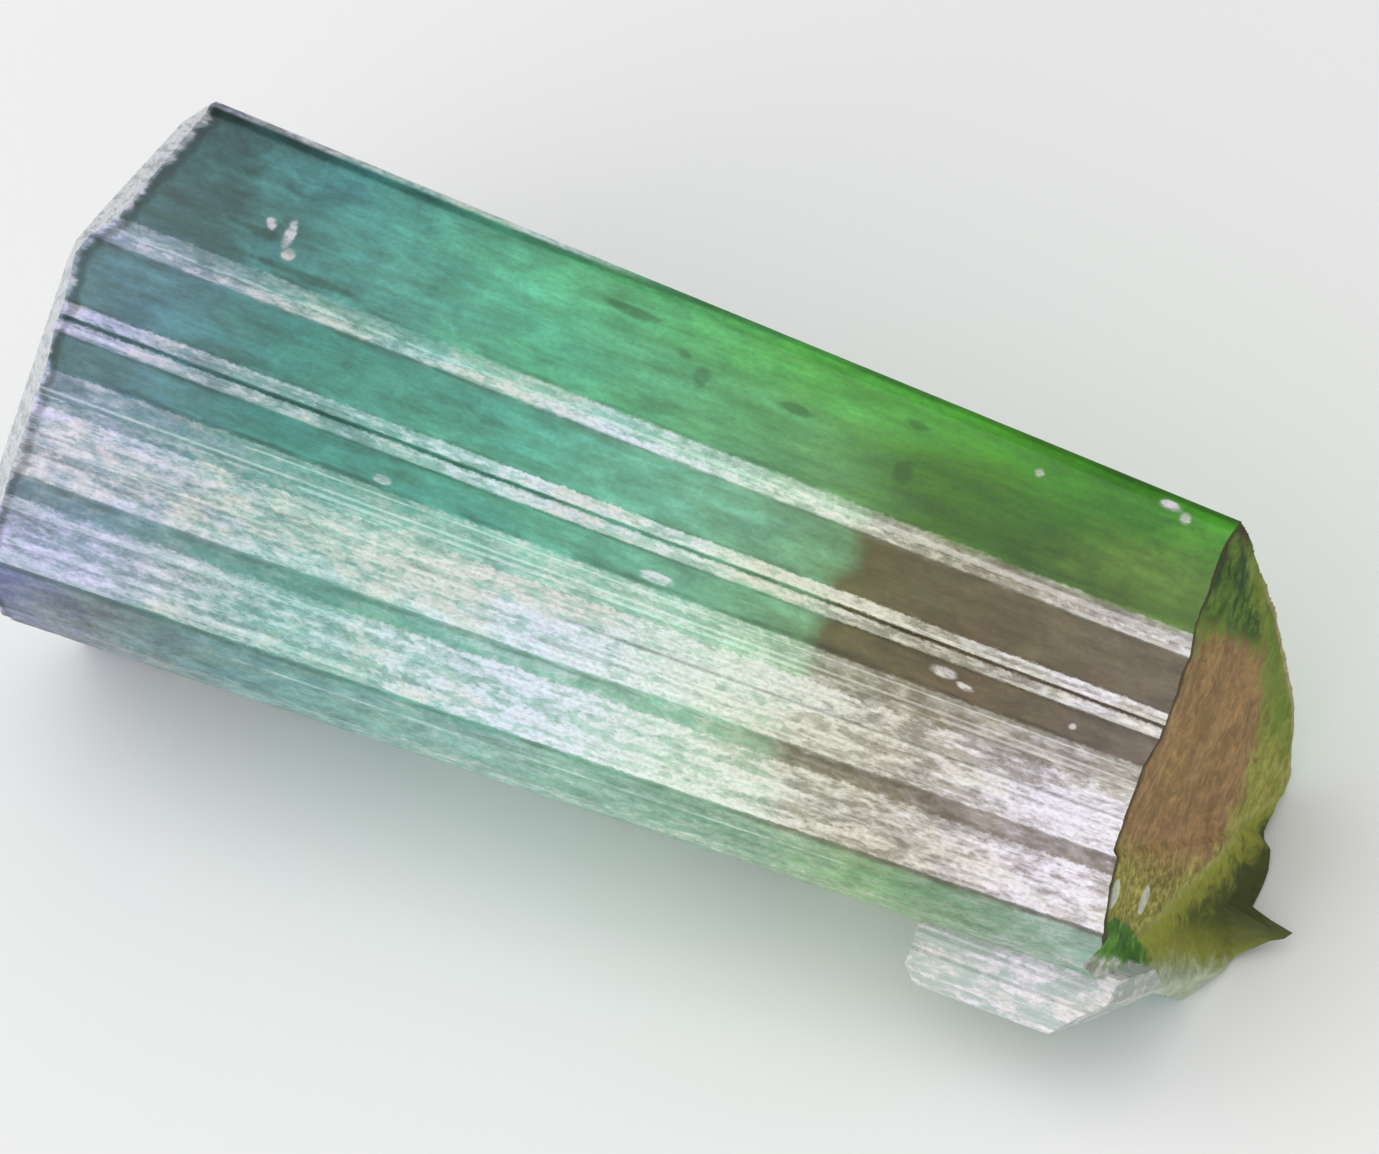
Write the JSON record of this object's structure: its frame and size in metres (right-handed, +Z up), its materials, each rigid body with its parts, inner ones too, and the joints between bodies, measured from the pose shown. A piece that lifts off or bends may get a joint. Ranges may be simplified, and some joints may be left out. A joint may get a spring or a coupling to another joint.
{
  "type": "tourmaline crystal",
  "caption": "Tapering striated tourmaline crystal, green to pink-brown, with a low pointed end, a broken end and a small side crystal, lying on a flat facet.",
  "frame": {"origin": "middle of the crystal's box, on the surface that it lies on", "axes": "+X along the crystal towards its broken end, +Y to its back, +Z up from the facet that it lies on"},
  "size_m": [0.0342, 0.0138, 0.0158],
  "materials": {
    "tourmaline": "clear to cloudy green crystal, striated lengthwise"
  },
  "bodies": {
    "root": {"tourmaline_crystal": "tourmaline"}
  },
  "joints": []
}
